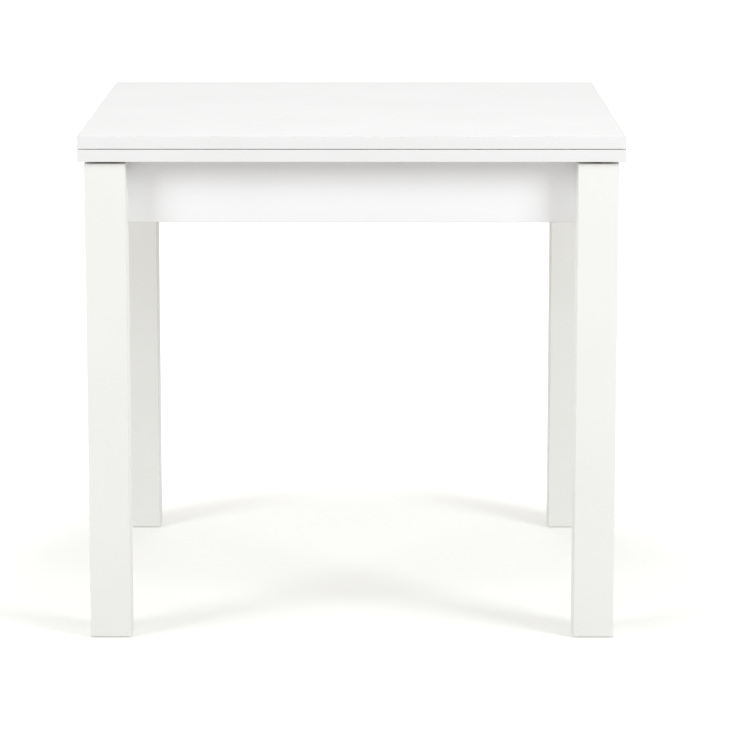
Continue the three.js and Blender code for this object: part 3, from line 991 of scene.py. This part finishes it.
for corner in CORNERS:
    node = f"foot_glide_{corner}"
    low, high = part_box(node)
    centre = (low + high) / 2
    reach = (high.x - low.x) / 2
    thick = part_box(f"leg_{corner}")[0].z - low.z
    dish = [(AXIS, DISH), (3.6 * MM, DISH), (4.4 * MM, 0.1 * MM), (4.9 * MM, 0)]
    rim = arc(reach - GLIDE_RIM, GLIDE_RIM, GLIDE_RIM, -90, 0)
    stem = [(reach, thick), (STEM, thick), (STEM, high.z - STEM_POINT), (AXIS, high.z)]
    disc = turned([*dish, *rim, *stem])
    to_foot = Matrix.Translation((centre.x, centre.y, 0))
    piece(f"glide_disc_{corner}", moved(disc, to_foot), node, [glide_plastic], [node])
    nail = turned(nail_outline())
    piece(f"glide_nail_{corner}", moved(nail, to_foot), node, [zinc])
print("glides made, radius", round(reach, 4))


# %% [markdown]
# ## Felt pads
#
# Six felt discs lie on the aprons and carry the top as it turns. Cut felt has no sharp edge, so the disc's
# rim is rounded and its surface is pushed in and out by a little noise.

# %% Felt pads
LUMP = 1.1 * MM
PUSH = 0.12 * MM
PUSH_IN = 0.6
FACE_RINGS = (0.3, 0.6, 0.85)


def pad_outline(radius, half):
    """Flat faces with a few rings each, so that the noise has points to push, and a round rim."""
    rise = half * 0.5
    return [
        (AXIS, -half),
        *[(radius * share, -half) for share in FACE_RINGS],
        *arc(radius - rise, -half + rise, rise, -80, 0, steps=3),
        *arc(radius - rise, half - rise, rise, 0, 80, steps=3),
        *[(radius * share, half) for share in reversed(FACE_RINGS)],
        (AXIS, half),
    ]


pads = sorted(node for node in frame["nodes"] if node.startswith("glide_pad"))
for node in pads:
    centre, size = middle(node)
    shape = turned(pad_outline(size.x / 2, size.z / 2), points=40)
    for vertex in shape.verts:
        push = PUSH * (lumps.noise((vertex.co + centre) / LUMP) - PUSH_IN)
        vertex.co += vertex.co.normalized() * push
    piece(f"felt_{node}", moved(shape, Matrix.Translation(centre)), node, [felt], [node])
print("felt pads", len(pads))


# %% [markdown]
# ## The swivel
#
# A steel plate is screwed under the lower board, with a stud welded on. The stud turns in a flanged nylon
# bush, and a washer and lock nut hold it from below. The CAD plate and stud are one node: the plate is
# cut from it, and the stud is a new threaded bar with a weld bead round its foot.

# %% Plate and stud
STUD_RADIUS = 6 * MM
STUD_PITCH = 1.75 * MM
STUD_IN_PLATE = 0.2 * MM
PLATE_GAP = 0.25 * MM
PLATE_REACH = 50 * MM
plate_low, plate_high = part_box("swivel_plate")
rail_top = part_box("pivot_rail")[1].z
bush_low, bush_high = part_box("pivot_bush")
pivot = Vector(((plate_low.x + plate_high.x) / 2, (plate_low.y + plate_high.y) / 2, 0))
at_pivot = Matrix.Translation(pivot)
plate_under = bush_high.z + PLATE_GAP

plate = slice_off(from_cad("swivel_plate"), Vector((0, 0, plate_under)), DOWN)
round_edges(plate, 0.25 * MM, lambda edge: clear_of(edge, pivot, PLATE_REACH), steps=2)
piece("swivel_plate_steel", plate, "swivel_plate", [zinc], ["swivel_plate"])
stud_top = plate_under + STUD_IN_PLATE
stud = joined(thread_rings(STUD_RADIUS, STUD_PITCH, plate_low.z, stud_top, points=40))
piece("swivel_stud", moved(stud, at_pivot), "swivel_plate", [zinc])
print("swivel plate at", [round(v, 3) for v in pivot], "underside", round(plate_under, 4))


# %% [markdown]
# The weld is a thin ring round the stud's foot. A welder lays it in short overlapping ripples, so the
# ring's thickness goes in and out a little as it goes round.

# %% Weld
WELD = 0.35 * MM
WELD_RIPPLES = 26
RIPPLE = 0.09
WELD_FLAT = 0.7


def weld_bead(radius, height, points=96, around=8):
    """A ring of weld ripples, flatter than it is wide."""
    rings = []
    for i in range(points):
        turn = math.tau * i / points
        thick = WELD * (1 + RIPPLE * math.sin(turn * WELD_RIPPLES))
        section = [math.tau * k / around for k in range(around)]
        rings.append([
            ring_point(radius + thick * math.cos(a), turn, height + thick * math.sin(a) * WELD_FLAT)
            for a in section
        ])
    return joined(rings, loop=True)


bead = weld_bead(STUD_RADIUS + 0.15 * MM, plate_under - 0.02 * MM)
piece("stud_weld", moved(bead, at_pivot), "swivel_plate", [zinc])
print("weld bead of", WELD_RIPPLES, "ripples")


# %% [markdown]
# ## Bush and washer
#
# The bush's sleeve fits the rail, and its flange lies on the rail's top. A loose washer lies below. Both
# are turned round the stud with the same room, and have eased rims.

# %% Bush and washer
STUD_ROOM = 0.3 * MM
SLEEVE = 9 * MM
RIM = 0.3 * MM
bore = STUD_RADIUS + STUD_ROOM
flange = (bush_high.x - bush_low.x) / 2
bush_outline = [
    (bore, bush_low.z + RIM),
    (bore + RIM, bush_low.z),
    (SLEEVE - RIM, bush_low.z),
    (SLEEVE, bush_low.z + RIM),
    (SLEEVE, rail_top),
    (flange - RIM, rail_top),
    (flange, rail_top + RIM),
    (flange - RIM, bush_high.z),
    (bore + RIM, bush_high.z),
    (bore, bush_high.z - RIM),
]
bush = turned(bush_outline, loop=True, points=64)
piece("flanged_bush", moved(bush, at_pivot), "pivot_bush", [nylon], ["pivot_bush"])

washer_low, washer_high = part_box("pivot_washer")
wide = (washer_high.x - washer_low.x) / 2
washer_outline = [
    (bore, washer_low.z),
    *arc(wide - RIM, washer_low.z + RIM, RIM, -90, 0, steps=3),
    *arc(wide - RIM, washer_high.z - RIM, RIM, 0, 90, steps=3),
    (bore, washer_high.z),
]
washer = turned(washer_outline, loop=True, points=64)
piece("plain_washer", moved(washer, at_pivot), "pivot_washer", [zinc], ["pivot_washer"])
print("bush flange", round(flange, 4), "washer", round(wide, 4))


# %% [markdown]
# ## Lock nut and stop pin
#
# The lock nut hangs upside down on the stud and ends in a collar of blue nylon, which grips the thread.
# The stop pin is a plain ground dowel with chamfered ends: it runs in the plate's slot and ends the top's
# turn after a quarter.

# %% Lock nut and stop pin
COLLAR = 2.6 * MM
COLLAR_WIDTH = 0.86
COLLAR_RIM = 0.9 * MM
NUT_INSIDE_BOX = 0.995
nut_low, nut_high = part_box("pivot_lock_nut")
half_wide = (nut_high.x - nut_low.x) / 2
half_deep = (nut_high.y - nut_low.y) / 2
flat = min(half_wide, half_deep) * NUT_INSIDE_BOX
lock_nut = hex_nut(flat, bore, nut_high.z - nut_low.z - COLLAR)
upside_down = Matrix.Translation((pivot.x, pivot.y, nut_high.z)) @ Matrix.Rotation(math.pi, 4, "X")
piece("lock_nut", moved(lock_nut, upside_down), "pivot_lock_nut", [zinc], ["pivot_lock_nut"])

grip = STUD_RADIUS + 0.05 * MM
rim = half_wide * COLLAR_WIDTH
collar_outline = [
    (grip, nut_low.z),
    *arc(rim - COLLAR_RIM, nut_low.z + COLLAR_RIM, COLLAR_RIM, -90, 0, steps=4),
    (rim, nut_low.z + COLLAR),
    (grip, nut_low.z + COLLAR),
]
collar = turned(collar_outline, loop=True, points=64)
piece("lock_nut_collar", moved(collar, at_pivot), "pivot_lock_nut", [collar_nylon])

centre, size = middle("stop_pin")
r, half = size.x / 2, size.z / 2
pin = turned([(r - RIM, -half), (r, -half + RIM), (r, half - RIM), (r - RIM, half)])
piece("stop_dowel", moved(pin, Matrix.Translation(centre)), "stop_pin", [zinc], ["stop_pin"])
print("lock nut across flats", round(2 * flat, 4), "stop pin", round(2 * r, 4))


# %% [markdown]
# ## Screws
#
# A countersunk screw shows only its head: a flat disc with a cross recess. The CAD screw has that shape
# already, so its mesh is cleaned, smoothed round the rim and given its plating.

# %% Screws
screws = sorted(node for node in frame["nodes"] if "screw" in node)
for node in screws:
    plated = nickel if node.startswith("hinge") else zinc
    piece(f"eased_{node}", from_cad(node), node, [plated], [node])
print("screws", len(screws))


# %% [markdown]
# ## Hinges
#
# Two butt hinges are let into the back edges. Their knuckles interleave on one pin, level with the seam,
# and stand just proud of the edge when the table is closed. The stamped plates keep crisp edges, eased by
# a fifth of a millimetre, and the pin's ends are riveted over into low domes inside the last knuckles.

# %% Hinges
KNUCKLE_REACH = 3 * MM
PLATE_EDGE = 5 * MM
PLATE_EASE = 0.18 * MM
PLATE_SHARP = math.radians(50)


def plate_edge(edge, level):
    """True for a plate's longer edges, clear of the knuckles at that level."""
    clear = all(abs(v.co.z - level) > KNUCKLE_REACH for v in edge.verts)
    return clear and edge.calc_length() > PLATE_EDGE


def rivet_outline(r, half):
    """A pin from end to end, with a low dome on both ends."""
    end = [(r * 0.3, half), (r * 0.7, half - 0.15 * MM), (r, half - 0.4 * MM)]
    return [(a, -b) for a, b in end] + list(reversed(end))


for end in ENDS:
    node = f"hinge_pin_{end}"
    centre, size = middle(node)
    for board in ("lower", "upper"):
        plate_node = f"hinge_{board}_plate_{end}"
        shape = from_cad(plate_node)
        round_edges(shape, PLATE_EASE, lambda edge: plate_edge(edge, centre.z), 2, PLATE_SHARP)
        piece(f"hinge_leaf_{board}_{end}", shape, plate_node, [nickel], [plate_node])
    pin = turned(rivet_outline(size.y / 2, size.x / 2), points=24)
    to_hinge = Matrix.Translation(centre) @ Matrix.Rotation(math.pi / 2, 4, "Y")
    piece(f"riveted_pin_{end}", moved(pin, to_hinge), node, [nickel], [node])
print("hinges made, pin radius", round(size.y / 2, 4))


# %% [markdown]
# ## Bumper dots
#
# Two clear dots under the leaf's free corners keep the boards apart, so the seam is an even dark line. A
# dot is a low dome, with rings closer together towards its rim, where it bends down faster.

# %% Dots
DOME_POWER = 0.7
DOT_FOOT = 0.1 * MM
for end in ENDS:
    node = f"bumper_{end}"
    centre, size = middle(node)
    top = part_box(node)[1].z
    radius = size.x / 2
    angles = (0.06, 0.35, 0.65, 0.95, 1.2, 1.4)
    dome = [(radius * math.sin(a), top - size.z * math.cos(a) ** DOME_POWER) for a in angles]
    dot = turned([*dome, (radius, top - DOT_FOOT), (radius, top), (0.06 * radius, top)])
    to_spot = Matrix.Translation((centre.x, centre.y, 0))
    piece(f"clear_dot_{end}", moved(dot, to_spot), node, [clear_rubber], [node])
print("dots made, radius", round(radius, 4))


# %% [markdown]
# ## The floor
#
# The table stands on a white sheet that glows. Its emission is painted light, which keeps it nearly white
# even under the table. The emission grows outwards from half a metre off the middle, so the dimmer sheet
# round the table is painted shade, and its diffuse white still takes soft shadows from the lamps. So bright
# a sheet would also fill every shadow on the table from below, so it is kept out of the light that bounces
# onto other things. The even surround does that instead.

# %% Floor
# The sheet's glow is painted light: dim as painted shade round the table, and bright farther out.
SHEET_MIDDLE_PAINTED_SHADE = (0.18, 0.185, 0.17)
SHEET_FAR_PAINTED_LIGHT = (0.52, 0.52, 0.52)
SHEET_WHITE = (0.8, 0.8, 0.79)
SHEET_GREY = (0.7, 0.7, 0.7)
PAINTED_SHADE_REACH = 0.5
PAINTED_LIGHT_REACH = 0.85
SHEET_REACH = 30


def backdrop(name, shape, finish):
    """An object of the studio, from a bmesh. Its light doesn't bounce onto the table."""
    mesh = bpy.data.meshes.new(name)
    shape.to_mesh(mesh)
    shape.free()
    mesh.materials.append(finish.material)
    made = bpy.data.objects.new(name, mesh)
    made.visible_diffuse = False
    bpy.context.scene.collection.objects.link(made)
    return made


def make_floor():
    finish = Finish("glowing_sheet_painted_light", Specular_IOR_Level=0.1, Emission_Strength=1.0)
    cloud = finish.noise(0.6, detail=3)
    away = finish.node("VectorMath", {"operation": "LENGTH"}, {0: finish.place()}, "Value")
    # Painted light and shade: the emission is dim round the table and bright farther out.
    finish.feed(
        Base_Color=finish.mix(cloud * 0.05, SHEET_WHITE, SHEET_GREY),
        Emission_Color=finish.mix(away.smooth(PAINTED_SHADE_REACH, PAINTED_LIGHT_REACH), SHEET_MIDDLE_PAINTED_SHADE, SHEET_FAR_PAINTED_LIGHT),
        Roughness=0.6 + 0.05 * cloud,
    )
    shape = bmesh.new()
    bmesh.ops.create_grid(shape, x_segments=1, y_segments=1, size=SHEET_REACH)
    floor = backdrop("floor", shape, finish)


make_floor()
print("floor reaches", SHEET_REACH, "m each way")


# %% [markdown]
# ## A white cove
#
# A low camera looks past the sheet's far edge. A studio hangs paper behind, curved up from the floor so
# that no line shows. Here the paper goes all the way round, far off. It glows evenly, and only the camera
# sees it, so it adds no light to the table and throws no shadow.

# %% Cove
COVE_REACH = 24.0
COVE_CURVE = 5.0
COVE_TOP = 22.0
COVE_FOOT = -0.01


def make_cove():
    finish = Finish("cove_paper", Roughness=0.9, Specular_IOR_Level=0.0, Emission_Strength=1.0)
    cloud = finish.noise(6.0, detail=2)
    finish.feed(
        Base_Color=finish.mix(cloud, (0.3, 0.3, 0.3), (0.32, 0.32, 0.32)),
        Emission_Color=finish.mix(cloud, (0.98, 0.98, 0.98), (1.0, 1.0, 1.0)),
    )
    foot = (COVE_REACH - COVE_CURVE, COVE_FOOT)
    bend = arc(COVE_REACH - COVE_CURVE, COVE_CURVE, COVE_CURVE, -90, 0, steps=12)
    outline = [foot, *bend[1:], (COVE_REACH, COVE_TOP)]
    shape = bmesh.new()
    rows = [[shape.verts.new(point) for point in round_ring(r, z, 96)] for r, z in outline]
    for below, above in zip(rows, rows[1:]):
        for i, start in enumerate(below):
            j = (i + 1) % len(below)
            shape.faces.new((start, above[i], above[j], below[j])).smooth = True
    cove = backdrop("cove", shape, finish)
    cove.visible_glossy = False
    cove.visible_transmission = False
    cove.visible_shadow = False


make_cove()
print("cove at", COVE_REACH, "m,", COVE_TOP, "m high")


# %% [markdown]
# ## Lights
#
# Most of the light is an even, slightly warm surround. Two cooler softboxes stand left and right of the
# camera. They reach under the overhang of the top, so the aprons darken only close under it. A weaker one
# behind keeps the back of the table from going dull. Each lamp aims at the middle of the top.

# %% Lights
LAMP_COLOUR = (0.955, 1.0, 1.02)
SIDE_SIZE = (1.2, 1.5)
SURROUND_COLOUR = (1.03, 1.0, 0.985, 1)
SURROUND_STRENGTH = 0.68


def softbox(name, power, size, place, aim):
    """A lamp with its power in watts and its width and height in metres."""
    lamp = bpy.data.lights.new(name, "AREA")
    lamp.shape = "RECTANGLE"
    lamp.size, lamp.size_y = size
    lamp.energy = power
    lamp.color = LAMP_COLOUR
    made = bpy.data.objects.new(name, lamp)
    made.location = place
    made.rotation_euler = (Vector(aim) - Vector(place)).to_track_quat("-Z", "Y").to_euler()
    bpy.context.scene.collection.objects.link(made)


world = bpy.data.worlds.new("studio")
world.use_nodes = True
surround = world.node_tree.nodes["Background"]
surround.inputs["Color"].default_value = SURROUND_COLOUR
surround.inputs["Strength"].default_value = SURROUND_STRENGTH
bpy.context.scene.world = world

top_middle = (0, 0, cad_high.z)
softbox("left_softbox", 49, SIDE_SIZE, (-2.72, -2.2, 1.95), top_middle)
softbox("right_softbox", 63, SIDE_SIZE, (2.72, -2.2, 1.95), top_middle)
softbox("back_softbox", 22, (2.4, 1.2), (0, 3.4, 2.6), top_middle)
bpy.context.scene.view_settings.view_transform = "Standard"
print("lights aim at", [round(v, 3) for v in top_middle])
